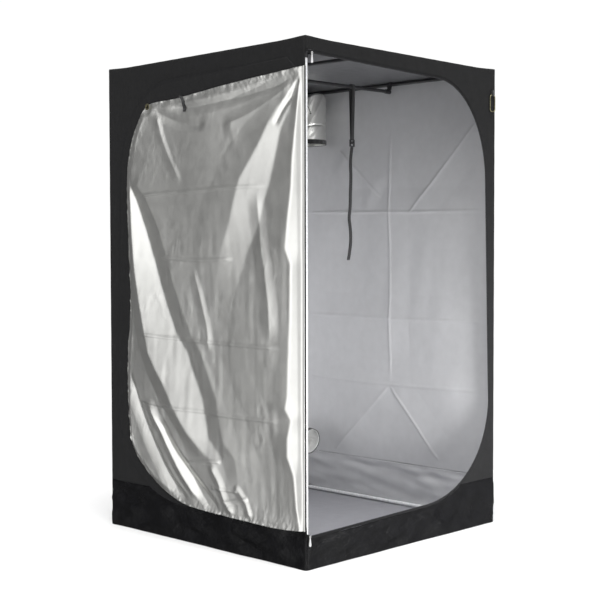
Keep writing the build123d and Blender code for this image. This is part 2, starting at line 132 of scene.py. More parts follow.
def crest(u, v, route, wide_left, wide_right, height, fade=0.15, tip=0.003, power=1.5):
    """A crest (or a valley, with a negative height) along a route of (u, v) points.

    It falls to nothing over wide_left and wide_right metres. On a route that runs down -v, its left is
    its +u side. Each of the three is one number, or (at the route's start, at its end)."""
    line = sampled(route, 4 * len(route))
    best = np.full(u.shape, 1e9)
    along = np.zeros(u.shape)
    side = np.ones(u.shape)
    for k in range(len(line) - 1):
        a, step = line[k], line[k + 1] - line[k]
        du, dv = u - a[0], v - a[1]
        t = np.clip((du * step[0] + dv * step[1]) / (step @ step), 0, 1)
        gap = np.hypot(du - t * step[0], dv - t * step[1])
        near = gap < best
        best = np.where(near, gap, best)
        along = np.where(near, (k + t) / (len(line) - 1), along)
        side = np.where(near, np.sign(step[0] * dv - step[1] * du), side)
    wide = np.where(side > 0, along_route(wide_left, along), along_route(wide_right, along))
    tall = along_route(height, along) * smooth(along / fade) * smooth((1 - along) / fade)
    reach = np.sqrt(best**2 + tip**2) - tip
    return tall * np.clip(1 - reach / wide, 0, 1) ** power


# ---------------------------------------------------------------- meshes
def add_object(name, data):
    obj = bpy.data.objects.new(name, data)
    bpy.context.scene.collection.objects.link(obj)
    return obj


def mesh_object(name, points, faces, material, smooth_shaded=True):
    mesh = bpy.data.meshes.new(name)
    mesh.from_pydata(points.reshape(-1, 3).tolist(), [], faces)
    mesh.validate()
    if smooth_shaded:
        mesh.shade_smooth()
    mesh.materials.append(material)
    return add_object(name, mesh)


def grid_quads(rows, cols, wrap=False):
    """The four corners of each cell of a grid of points. wrap joins the last column to the first."""
    index = np.arange(rows * cols).reshape(rows, cols)
    if wrap:
        index = np.hstack([index, index[:, :1]])
    return np.stack([index[:-1, :-1], index[:-1, 1:], index[1:, 1:], index[1:, :-1]], axis=-1)


def grid_object(name, points, material, wrap=False, drop=None, outward=None):
    """A smooth sheet over a grid of points. drop marks the cells that are left out."""
    quads = grid_quads(*points.shape[:2], wrap)
    points = points.reshape(-1, 3)
    if drop is not None:
        used, quads = np.unique(quads[~drop], return_inverse=True)
        points = points[used]
    quads = quads.reshape(-1, 4)
    if outward is not None:
        a, b, d = points[quads[:, 0]], points[quads[:, 1]], points[quads[:, 3]]
        if (np.cross(b - a, d - a) @ np.asarray(outward, float)).sum() < 0:
            quads = quads[:, ::-1]
    return mesh_object(name, points, quads.tolist(), material)


def thicken(obj, thick, inner=None, offset=-1.0):
    """Gives a sheet its thickness. The second material is on its inner side."""
    mod = obj.modifiers.new("thickness", "SOLIDIFY")
    mod.thickness = thick
    mod.offset = offset
    if inner is not None:
        obj.data.materials.append(inner)
        mod.material_offset = 1
        mod.material_offset_rim = 0
    return obj


def place(obj, body, slot, *nodes):
    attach(obj, body)
    if nodes:
        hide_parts(*nodes)
    return obj


def tube_points(line, radius, sides, first=(1, 0, 0)):
    """Rings round a line, with frames carried along it. radius(angle, share of the length) or a number."""
    line = np.asarray(line, float)
    ahead = np.gradient(line, axis=0)
    ahead /= np.linalg.norm(ahead, axis=1)[:, None]
    side = np.asarray(first, float)
    angle = np.linspace(0, 2 * math.pi, sides, endpoint=False)
    rings = []
    for k, t in enumerate(ahead):
        side = side - t * (side @ t)
        side /= np.linalg.norm(side)
        up = np.cross(t, side)
        r = radius(angle, k / (len(line) - 1)) if callable(radius) else radius
        r = np.broadcast_to(r, angle.shape)
        rings.append(line[k] + (np.cos(angle) * r)[:, None] * side + (np.sin(angle) * r)[:, None] * up)
    return np.array(rings)


def capped_tube(name, line, radius, sides, material, first=(1, 0, 0)):
    points = tube_points(line, radius, sides, first)
    faces = grid_quads(len(points), sides, wrap=True).reshape(-1, 4).tolist()
    last_ring = range((len(points) - 1) * sides, len(points) * sides)
    faces += [list(range(sides)), list(last_ring)[::-1]]
    return mesh_object(name, points, faces, material)


def blocks(name, centres, along, across, size, material):
    """Many small tapered blocks, one at each centre, as the teeth of a zip."""
    along = along / np.linalg.norm(along, axis=1)[:, None]
    across = across - along * (across * along).sum(1)[:, None]
    across = across / np.linalg.norm(across, axis=1)[:, None]
    normal = np.cross(along, across)
    points = []
    for a, b, c in itertools.product((-1, 1), repeat=3):
        shrink = 0.6 if c > 0 else 1.0
        level = along * a * size[0] / 2 * shrink + across * b * size[1] / 2 * shrink
        points.append(centres + (level + normal * c * size[2] / 2))
    points = np.stack(points, axis=1).reshape(-1, 3)
    sides = [(0, 1, 3, 2), (4, 6, 7, 5), (0, 4, 5, 1), (2, 3, 7, 6), (0, 2, 6, 4), (1, 5, 7, 3)]
    base = np.arange(len(centres)) * 8
    faces = (base[:, None, None] + np.array(sides)[None]).reshape(-1, 4)
    return mesh_object(name, points, faces.tolist(), material, smooth_shaded=False)


def spaced_along(line, pitch):
    """Centres and directions at each pitch of a line."""
    length = np.linalg.norm(np.diff(line, axis=0), axis=1).sum()
    centres = even(line, max(3, int(length / pitch)))
    return centres, np.gradient(centres, axis=0)


def smooth_route(name, points):
    """A route's own smooth curve, as points."""
    obj = route_curve(name, points)
    mesh = bpy.data.meshes.new_from_object(obj)
    line = np.array([v.co for v in mesh.vertices])
    bpy.data.objects.remove(obj)
    bpy.data.meshes.remove(mesh)
    return line


def route_curve(name, points, bevel=0.0):
    curve = bpy.data.curves.new(name, "CURVE")
    curve.dimensions = "3D"
    spline = curve.splines.new("NURBS")
    spline.points.add(len(points) - 1)
    for point, co in zip(spline.points, points):
        point.co = (*co, 1.0)
    spline.order_u = 3
    spline.use_endpoint_u = True
    spline.resolution_u = 12
    curve.bevel_depth = bevel
    curve.bevel_resolution = 4
    curve.use_fill_caps = True
    return add_object(name, curve)


# ---------------------------------------------------------------- materials
def new_material(name, colour, rough, metal=0.0, sheen=0.0, coat=0.0, gloss=0.5):
    mat = bpy.data.materials.new(name)
    mat.use_nodes = True
    shader = mat.node_tree.nodes["Principled BSDF"]
    for socket, value in (
        ("Base Color", (*colour, 1)),
        ("Roughness", rough),
        ("Metallic", metal),
        ("Sheen Weight", sheen),
        ("Coat Weight", coat),
        ("Specular IOR Level", gloss),
    ):
        shader.inputs[socket].default_value = value
    return mat, mat.node_tree, shader


def add(tree, kind, **values):
    node = tree.nodes.new(kind)
    for key, value in values.items():
        node.inputs[key].default_value = value
    return node


def object_coords(tree, scale=(1, 1, 1), turn=(0, 0, 0)):
    coords = tree.nodes.new("ShaderNodeTexCoord")
    mapping = add(tree, "ShaderNodeMapping", Scale=scale, Rotation=turn)
    tree.links.new(coords.outputs["Object"], mapping.inputs["Vector"])
    return mapping.outputs["Vector"]


def noise(tree, size, detail=4.0, stretch=(1, 1, 1), turn=(0, 0, 0), rough=0.55):
    node = add(tree, "ShaderNodeTexNoise", Scale=1.0 / size, Detail=detail, Roughness=rough)
    tree.links.new(object_coords(tree, stretch, turn), node.inputs["Vector"])
    return node.outputs[0]


def vary_colour(tree, shader, dark, light, size, stretch=(1, 1, 1)):
    ramp = tree.nodes.new("ShaderNodeValToRGB")
    for element, where, colour in zip(ramp.color_ramp.elements, (0.35, 0.65), (dark, light)):
        element.position = where
        element.color = (*colour, 1)
    tree.links.new(noise(tree, size, 5.0, stretch), ramp.inputs["Fac"])
    tree.links.new(ramp.outputs["Color"], shader.inputs["Base Color"])


def vary_rough(tree, shader, low, high, size):
    limits = {"From Min": 0.3, "From Max": 0.7, "To Min": low, "To Max": high}
    ranged = add(tree, "ShaderNodeMapRange", **limits)
    tree.links.new(noise(tree, size, 3.0), ranged.inputs["Value"])
    tree.links.new(ranged.outputs["Result"], shader.inputs["Roughness"])


def bump(tree, shader, heights):
    """Chains bumps. Each is (height socket, depth in metres)."""
    normal = None
    for socket, depth in heights:
        node = add(tree, "ShaderNodeBump", Strength=1.0, Distance=depth)
        tree.links.new(socket, node.inputs["Height"])
        if normal is not None:
            tree.links.new(normal, node.inputs["Normal"])
        normal = node.outputs["Normal"]
    tree.links.new(normal, shader.inputs["Normal"])


def wave_scale(pitch):
    """The wave texture's scale that gives bands at this pitch in metres."""
    return 2 * math.pi / (20 * pitch)


def weave(tree, pitch, level=False):
    """Plain weave: threads up and down and threads across. level is for panels that lie flat."""
    total = tree.nodes.new("ShaderNodeMath")
    total.operation = "ADD"
    for k in range(2):
        wave = add(tree, "ShaderNodeTexWave", Scale=wave_scale(pitch))
        wave.bands_direction = ("X", "Y")[k] if level else ("DIAGONAL", "Z")[k]
        tree.links.new(object_coords(tree), wave.inputs["Vector"])
        tree.links.new(wave.outputs["Fac"], total.inputs[k])
    return total.outputs[0]


def times(colour, factor):
    return tuple(min(1.0, c * factor) for c in colour)


def canvas_material(name, colour, rough, level=False):
    mat, tree, shader = new_material(name, colour, rough, sheen=0.01, gloss=0.2)
    vary_colour(tree, shader, times(colour, 0.9), times(colour, 1.1), 0.012, (1, 1, 0.3))
    vary_rough(tree, shader, rough - 0.06, rough + 0.06, 0.05)
    rumple = noise(tree, 0.09, 3.0, (1, 1, 0.5))
    bump(tree, shader, [(rumple, 0.0025), (weave(tree, 0.0011, level), 0.0002)])
    return mat


def coated_material():
    mat, tree, shader = new_material("coated_cloth", (0.0015, 0.0015, 0.002), 0.22, gloss=0.22)
    vary_colour(tree, shader, (0.001, 0.001, 0.0015), (0.002, 0.002, 0.003), 0.05)
    vary_rough(tree, shader, 0.18, 0.28, 0.06)
    creased = noise(tree, 0.06, 4.0, (1, 1, 2.4), (0.5, 0.4, 0.0))
    bump(tree, shader, [(creased, 0.008), (weave(tree, 0.0009), 0.0001)])
    return mat


def film_material(name, colour, metal, rough, crinkle, size, level=False):
    """Silver-coated cloth: a soft mirror with fine crinkles."""
    mat, tree, shader = new_material(name, colour, rough, metal)
    vary_colour(tree, shader, times(colour, 0.96), colour, 0.05)
    vary_rough(tree, shader, rough - 0.03, rough + 0.04, 0.04)
    fine = noise(tree, size, 5.0, (1, 1, 0.45), rough=0.6)
    facets = noise(tree, size * 3.2, 3.0, (1, 1, 0.6), rough=0.5)
    threads = weave(tree, 0.0008, level)
    bump(tree, shader, [(facets, crinkle * 2.2), (fine, crinkle), (threads, 0.00003)])
    return mat


def plain_material(name, colour, rough, metal=0.0, grain=0.02, depth=0.0002, coat=0.0, spread=0.12):
    """Paint, moulded plastic or metal, with a fine grain."""
    mat, tree, shader = new_material(name, colour, rough, metal, coat=coat)
    vary_colour(tree, shader, times(colour, 1 - spread), times(colour, 1 + spread), grain * 2)
    vary_rough(tree, shader, max(0.05, rough - 0.07), rough + 0.08, grain)
    bump(tree, shader, [(noise(tree, grain, 4.0), depth)])
    return mat


def webbing_material():
    colour = (0.012, 0.012, 0.013)
    mat, tree, shader = new_material("webbing_black", colour, 0.8, sheen=0.2)
    vary_colour(tree, shader, times(colour, 0.7), times(colour, 1.4), 0.004)
    ribs = add(tree, "ShaderNodeTexWave", Scale=wave_scale(0.0016))
    ribs.bands_direction = "Z"
    tree.links.new(object_coords(tree), ribs.inputs["Vector"])
    bump(tree, shader, [(ribs.outputs["Fac"], 0.0004), (noise(tree, 0.002, 3.0), 0.0003)])
    return mat


OXFORD = (0.0105, 0.0105, 0.011)
CANVAS = canvas_material("black_oxford", OXFORD, 0.72)
CANVAS_TOP = canvas_material("black_oxford_level", OXFORD, 0.72, level=True)
COATED = coated_material()
FILM = film_material("silver_film", (0.78, 0.78, 0.755), 0.95, 0.31, 0.0001, 0.022)
LINING = film_material("silver_lining", (0.61, 0.612, 0.625), 0.3, 0.55, 0.00025, 0.03)
# The ceiling's lining is the walls' silver lining made dark: the shade under the roof is painted into its
# colour.
LINING_TOP_PAINTED_SHADE = film_material("silver_lining_level_painted_shade", (0.14, 0.142, 0.15), 0.2, 0.5, 0.0004, 0.03, level=True)
SLEEVE_CLOTH = film_material("silver_sleeve", (0.86, 0.86, 0.85), 0.2, 0.4, 0.0004, 0.02)
FLOOR_CLOTH = film_material("grey_floor_cloth", (0.42, 0.42, 0.45), 0.3, 0.45, 0.0005, 0.03, level=True)
TUBE = plain_material("white_powder_coat", (0.84, 0.85, 0.86), 0.38, 0.0, 0.004, 0.00008, coat=0.1)
MOULDING = plain_material("black_moulding", (0.016, 0.016, 0.018), 0.5, grain=0.002, depth=0.0001)
ZIP_CLOTH = canvas_material("zip_cloth", (0.010, 0.010, 0.0108), 0.8)
ZIP_TEETH = plain_material("zip_teeth", (0.02, 0.02, 0.022), 0.35, grain=0.002)
WEBBING = webbing_material()
ZIP_BODY = plain_material("painted_slider", (0.02, 0.02, 0.02), 0.32, 0.6, grain=0.003)
CHROME = plain_material("polished_pull", (0.9, 0.9, 0.9), 0.16, 1.0, 0.008, 0.00005, spread=0.03)
BRASS = plain_material("old_brass", (0.26, 0.24, 0.15), 0.34, 1.0, 0.004, 0.0002, spread=0.3)
BUCKLE = plain_material("buckle_moulding", (0.014, 0.014, 0.015), 0.42, grain=0.002, depth=0.0001)
# The roof's rails and ceiling bars are the same white-coated tube as the posts; the black colour here is
# their shade under the roof, painted in.
TUBE_PAINTED_SHADE = plain_material("tube_black_painted_shade", (0.02, 0.02, 0.022), 0.4, 0.0, 0.004, 0.00008, coat=0.1)

CAD_LOOKS = {
    "frame_tube": TUBE,
    "dark_tube": TUBE_PAINTED_SHADE,
    "corner_moulding": MOULDING,
    "zip_tape": ZIP_CLOTH,
    "webbing": WEBBING,
    "zip_slider": ZIP_BODY,
    "zip_pull": CHROME,
    "old_brass": BRASS,
    "buckle_plastic": BUCKLE,
    "black_canvas": CANVAS,
    "coated_skirt": COATED,
    "door_canvas": CANVAS,
    "floor_lining": FLOOR_CLOTH,
    "reflective_lining": FILM,
}
for part in frame["record"]["subparts"]:
    cad_mesh = frame["nodes"][part["node"]].data
    cad_mesh.materials.clear()
    cad_mesh.materials.append(CAD_LOOKS[part["material_slot"]])


# ---------------------------------------------------------------- cover panels
CUT = EDGE_R * (1 - math.sqrt(0.5))  # where two rounded panels meet at 45 degrees


def edge_drop(u, low, high):
    """How far a panel curls in as u nears the ends of its span."""
    past = np.maximum(np.maximum(u - (high - EDGE_R), (low + EDGE_R) - u), 0)
    return EDGE_R - np.sqrt(EDGE_R**2 - np.minimum(past, EDGE_R * math.sqrt(0.5)) ** 2)


def ticks(low, high, n, round_low=True, round_high=True):
    """Places across a panel, closer together over its rounded ends."""
    arc = np.linspace(0, EDGE_R - CUT, 6)
    start = low + EDGE_R if round_low else low
    end = high - EDGE_R if round_high else high
    middle = np.linspace(start, end, n)
    first = low + CUT + arc[:-1] if round_low else []
    last = (high - CUT - arc[:-1])[::-1] if round_high else []
    return np.concatenate([first, middle, last])


def over_joints(u, v):
    """The cloth stands out a little over the frame's corner pieces."""
    total = 0
    for cu in (-0.583, 0.583):
        for cv in (0.016, 1.984):
            total = total + 0.0028 * np.exp(-(((u - cu) / 0.03) ** 2 + ((v - cv) / 0.045) ** 2))
    return total


def corner_lift(x, y, z):
    """How far the frame's corner pieces push the roof's edges up, most at the left front corner."""
    lift = 0.010 * np.clip(1 - np.hypot(x + HALF, y + HALF) / 1.1, 0, 1)
    for sx in (-1, 1):
        for sy in (-1, 1):
            gap = np.hypot(x - sx * HALF, y - sy * HALF)
            lift = lift + 0.0045 * np.exp(-((gap / 0.08) ** 2))
    return lift * smooth((z - 1.955) / 0.04)


def slack(u, v, seed):
    """Gentle waves of a stretched panel, in metres outwards."""
    hold = window(u, -HALF, HALF, 0.12) * window(v, 0, TOP, 0.12)
    broad = 0.004 * lattice(u, v, 0.32, 0.42, seed)
    narrow = 0.0014 * lattice(u + 0.15 * v, v, 0.07, 0.4, seed + 1)
    return hold * (broad + narrow) + 0.0006 * lattice(u, v, 0.05, 0.09, seed + 2)


# Packing creases of the right wall, as routes of (y, z).
CREASES = [
    [(0.0, 1.78), (0.003, 1.39), (-0.002, 0.885), (0.0, 0.57)],
    [(0.56, 1.40), (0.0, 1.39), (-0.56, 1.385)],
    [(0.56, 0.89), (0.0, 0.885), (-0.56, 0.888)],
    [(0.56, 0.58), (0.0, 0.57), (-0.56, 0.578)],
    [(-0.53, 1.81), (-0.32, 1.59), (-0.106, 1.374)],
    [(0.326, 1.70), (0.19, 1.58), (0.048, 1.458)],
    [(0.0, 0.566), (0.18, 0.39), (0.361, 0.215)],
    [(0.0, 0.566), (-0.15, 0.40), (-0.30, 0.232)],
]


def creased(u, v, routes):
    """Sharp valleys along the routes, each at the bottom of a wide shallow one."""
    total = 0
    for route in routes:
        total = total - crest(u, v, route, 0.009, 0.009, 0.003, 0.08, 0.0006)
        total = total - crest(u, v, route, 0.17, 0.11, 0.007, 0.2, 0.003, 1.0)
    return total


def wall_relief(u, v, seed, routes=()):
    return slack(u, v, seed) + over_joints(u, v) + creased(u, v, routes)


def skirt_relief(u, v, seed):
    """Coated cloth that isn't pulled tight: slanting wrinkles."""
    hold = smooth(v / 0.03) * 0.7 + 0.3
    slanted = lattice(u + 1.4 * v, v - 0.2 * u, 0.16, 0.035, seed)
    steep = lattice(u - 0.9 * v, v + 0.25 * u, 0.10, 0.05, seed + 1)
    seam = -0.0012 * np.exp(-(((v - SKIRT) / 0.006) ** 2))
    wrinkles = hold * (0.0064 * slanted + 0.0036 * steep) * window(v, -0.1, SKIRT, 0.04)
    return wrinkles + seam + over_joints(u, v)


def upright(name, axis, sign, low, high, relief, looks, n, round_top, holes=()):
    """A wall or a skirt. axis 0 is a wall across X, sign its side, n its places (along, up)."""
    us = ticks(-HALF, HALF, n[0])
    vs = ticks(low, high, n[1], False, round_top)
    u, v = np.meshgrid(us, vs)
    drop = np.zeros((len(vs) - 1, len(us) - 1), bool)
    for hole in holes:
        u, v, inside = around_hole(u, v, *hole)
        drop |= inside
    out = HALF + relief(u, v) - edge_drop(u, -HALF, HALF)
    if round_top:
        out = out - edge_drop(v, -FAR, TOP)
    points = np.zeros((*u.shape, 3))
    points[..., axis] = sign * out
    points[..., 1 - axis] = u
    points[..., 2] = v + corner_lift(points[..., 0], points[..., 1], v)
    normal = [0, 0, 0]
    normal[axis] = sign
    obj = grid_object(name, points, looks[0], drop=drop, outward=normal)
    return thicken(obj, SKIN, looks[1])


def around_hole(u, v, cu, cv, r):
    """Moves the grid's points off a round hole, and marks the cells inside it."""
    du, dv = u - cu, v - cv
    gap = np.hypot(du, dv)
    inside = gap < r
    reach = np.maximum(gap, 1e-6)
    moved = np.maximum(gap, r)
    cell = inside[:-1, :-1] & inside[:-1, 1:] & inside[1:, :-1] & inside[1:, 1:]
    return cu + du / reach * moved, cv + dv / reach * moved, cell


def opening_runs(grow=0.0, n=60):
    """The D opening's edge in (x, z), as its five runs from the top left round to the foot."""
    top_right = np.array([0.190, 1.925 + grow])
    side_top = np.array([0.528 + grow, 1.520])
    side_low = np.array([0.556 + grow, 0.548])
    foot_right = np.array([0.100, 0.147 - grow])
    top = np.linspace([-HALF, 1.950 + grow], top_right, n)
    upper = bezier(top_right, top_right + (0.205, -0.006), side_top + (-0.004, 0.200), side_top, n)
    side = np.linspace(side_top, side_low, n)
    lower = bezier(side_low, side_low + (-0.004, -0.190), foot_right + (0.300, 0.0), foot_right, n)
    foot = np.linspace(foot_right, [-HALF, 0.130 - grow], n)
    return [top, upper, side, lower, foot]


def bezier(a, b, c, d, n):
    t = np.linspace(0, 1, n)[:, None]
    return (1 - t) ** 3 * a + 3 * (1 - t) ** 2 * t * b + 3 * (1 - t) * t**2 * c + t**3 * d


def joined(runs):
    return np.vstack([runs[0], *[r[1:] for r in runs[1:]]])


def make_front():
    """The front panel round the D opening, in canvas above and coated cloth below."""
    n = 61
    inner = joined(opening_runs(ZIP_TAPE, n))
    edge = HALF - CUT
    roof = TOP - CUT
    half = n // 2 + 1
    ends = [
        (-edge, roof), (0.25, roof), (edge, roof), (edge, 1.55),
        (edge, 0.52), (edge, 0.0), (0.20, 0.0), (-edge, 0.0),
    ]
    counts = (n, half, half, n, half, half, n)
    outer = joined([np.linspace(a, b, count) for a, b, count in zip(ends, ends[1:], counts)])
    inner[:, 0] = np.clip(inner[:, 0], -edge, edge)
    share = np.concatenate([np.linspace(0, 0.86, 26), np.linspace(0.875, 1, 12)])
    points = inner[None] * (1 - share[:, None, None]) + outer[None] * share[:, None, None]
    x, z = points[..., 0], points[..., 1]
    relief = np.where(z > SKIRT, wall_relief(x, z, 31), skirt_relief(x, z, 47))
    near_opening = np.exp(-share[:, None] / 0.08)
    relief = relief * (1 - 0.8 * near_opening) + 0.0012 * near_opening
    y = -HALF - relief + edge_drop(x, -HALF, HALF) + edge_drop(z, -FAR, TOP)
    grid = np.stack([x, y, z + corner_lift(x, y, z)], axis=-1)
    for name, low, high, look, slot, node, size, area in (
        ("front_canvas", SKIRT, FAR, CANVAS, "black_canvas", "front_surround", (1.2, 0.45), 0.20),
        ("front_skirt", -FAR, SKIRT, COATED, "coated_skirt", "skirt_front", (1.2, 0.2), 0.19),
    ):
        obj = grid_object(name, grid, look, outward=(0, -1, 0))
        keep_between(obj, low, high)
        thicken(obj, SKIN, LINING)
        place(obj, "tent", slot, node)


def keep_between(obj, low, high):
    """Cuts a mesh level at two heights and keeps the middle."""
    bm = bmesh.new()
    bm.from_mesh(obj.data)
    for z, above in ((low, False), (high, True)):
        bmesh.ops.bisect_plane(
            bm,
            geom=[*bm.verts, *bm.edges, *bm.faces],
            plane_co=(0, 0, z),
            plane_no=(0, 0, 1),
            clear_outer=above,
            clear_inner=not above,
        )
    bm.to_mesh(obj.data)
    bm.free()


def make_cover():
    for name, axis, sign, seed, node, n, creases, holes in (
        ("left_canvas", 0, -1, 3, "wall_left", (150, 220), (), ()),
        ("right_canvas", 0, 1, 11, "wall_right", (240, 360), CREASES, ()),
        ("back_canvas", 1, 1, 19, "wall_back", (150, 220), CREASES[1:4], BACK_HOLES),
    ):
        relief = functools.partial(wall_relief, seed=seed, routes=creases)
        obj = upright(name, axis, sign, SKIRT, TOP, relief, (CANVAS, LINING), n, True, holes)
        place(obj, "tent", "black_canvas", node)
    for name, axis, sign, seed, node in (
        ("left_skirt", 0, -1, 53, "skirt_left"),
        ("right_skirt", 0, 1, 59, "skirt_right"),
        ("back_skirt", 1, 1, 61, "skirt_back"),
    ):
        relief = functools.partial(skirt_relief, seed=seed)
        obj = upright(name, axis, sign, 0.0, SKIRT, relief, (COATED, LINING), (240, 44), False)
        place(obj, "tent", "coated_skirt", node)
    make_level_cloths()


def level_cloth(name, u, v, z, looks, thick):
    obj = grid_object(name, np.stack([u, v, z], axis=-1), looks[0], outward=(0, 0, 1))
    return thicken(obj, thick, looks[1])


def make_level_cloths():
    """The roof, the sewn floor and the loose floor liner."""
    side = ticks(-HALF, HALF, 110)
    u, v = np.meshgrid(side, side)
    sag = 0.004 * lattice(u, v, 0.3, 0.35, 71) * window(u, -HALF, HALF, 0.1) * window(v, -HALF, HALF, 0.1)
    curl = edge_drop(u, -HALF, HALF) + edge_drop(v, -HALF, HALF)
    z = TOP + sag - 0.002 * window(u, -HALF, HALF, 0.5) - curl + corner_lift(u, v, TOP)
    # The roof's inner side carries the ceiling's painted shade.
    roof = level_cloth("roof_canvas", u, v, z, (CANVAS_TOP, LINING_TOP_PAINTED_SHADE), SKIN)
    place(roof, "tent", "black_canvas", "roof")
    side = np.linspace(-WALL_INSIDE, WALL_INSIDE, 90)
    u, v = np.meshgrid(side, side)
    base = level_cloth("floor_cloth", u, v, np.full_like(u, 0.0018), (FLOOR_CLOTH, COATED), 0.0016)
    place(base, "tent", "floor_lining", "floor")
    half = 0.56  # of the liner's side
    side = np.linspace(-half, half, 160)
    u, v = np.meshgrid(side, side)
    ripple = 0.0016 * (lattice(u, v, 0.12, 0.2, 81) + 1) + 0.0012 * (crumple(u, v, 0.14, 83) + 1)
    z = 0.0042 + ripple * window(u, -half, half, 0.02) * window(v, -half, half, 0.02)
    tray = level_cloth("floor_liner", u, v, z, (FLOOR_CLOTH, None), 0.0018)
    place(tray, "tray", "floor_lining", "floor_tray")


def make_seams():
    """Piping along the cover's edges. The near edge has it only above and below the door."""
    side = HALF - CUT + 0.0002
    top = TOP - CUT + 0.0002
    door_top, door_foot = 1.963, 0.117
    lines = []
    for sx in (-1, 1):
        for sy in (-1, 1):
            low = door_top if (sx, sy) == (-1, -1) else 0.0
            lines.append([(sx * side, sy * side, low), (sx * side, sy * side, top)])
        lines.append([(sx * side, -side, top), (sx * side, side, top)])
        lines.append([(-side, sx * side, top), (side, sx * side, top)])
    lines.append([(-side, -side, 0.0), (-side, -side, door_foot)])

    def radius(angle, share):
        return 0.0014 + 0.0002 * np.sin(2 * angle + 90 * share)

    for k, (a, b) in enumerate(lines):
        path = np.linspace(a, b, 80)
        path[:, 2] += corner_lift(*path.T)
        first = (0, 0, 1) if a[2] == b[2] else (1, 0, 0)
        piping = capped_tube(f"edge_piping_{k + 1}", path, radius, 8, CANVAS, first)
        place(piping, "tent", "black_canvas")


def front_plane(flat, proud):
    """Points of the front's plane, from (x, z) and how far each stands off it."""
    return np.stack([flat[..., 0], -HALF - proud, flat[..., 1]], axis=-1)


def make_zips():
    """The frame's zip: its cloth tape, with the coil along the inner edge."""
    inner, outer = (
        joined([np.clip(run, [ZIP_END, 0], FAR) for run in opening_runs(grow)]) for grow in (0.0, ZIP_TAPE)
    )
    share = np.linspace(0, 1, 7)[:, None, None]
    flat = inner[None] * (1 - share) + outer[None] * share
    proud = np.broadcast_to(0.0003 + 0.0005 * np.sin(share[..., 0] * math.pi), flat.shape[:2])
    tape = grid_object("frame_zip_tape", front_plane(flat, proud), ZIP_CLOTH, outward=(0, -1, 0))
    thicken(tape, 0.0014)
    place(tape, "tent", "zip_tape", "zip_tape_frame")
    edge = inner * 0.93 + outer * 0.07
    centres, along = spaced_along(front_plane(edge, np.full(len(edge), 0.0012)), 0.0024)
    across = np.cross(along, (0.0, -1.0, 0.0))
    coil = blocks("frame_zip_coil", centres, along, across, (0.0014, 0.0034, 0.0018), ZIP_TEETH)
    place(coil, "tent", "zip_tape")


# ---------------------------------------------------------------- door
SHEET_TOP = [(-0.598, 1.900), (-0.186, 1.869), (0.119, 1.839), (0.248, 1.834), (0.336, 1.826)]
SHEET_SIDE = [
    (0.336, 1.826), (0.379, 1.767), (0.424, 1.69), (0.448, 1.61), (0.465, 1.535), (0.461, 1.37),
    (0.452, 1.15), (0.447, 0.95), (0.466, 0.76), (0.468, 0.62), (0.462, 0.50), (0.447, 0.40),
]
SHEET_FOOT = [
    (-0.598, 0.150), (-0.453, 0.139), (-0.27, 0.142), (-0.057, 0.1475), (0.085, 0.157), (0.189, 0.187),
    (0.275, 0.225), (0.34, 0.272), (0.406, 0.328), (0.447, 0.40),
]
SHEET_X = -0.6034  # the sheet's lowest places, just off the door's own canvas
SHEET_TALL = 1.70
EYELET = (0.328, 1.819)
HINGE_Y = -0.5985  # the door canvas's edge at its hinge

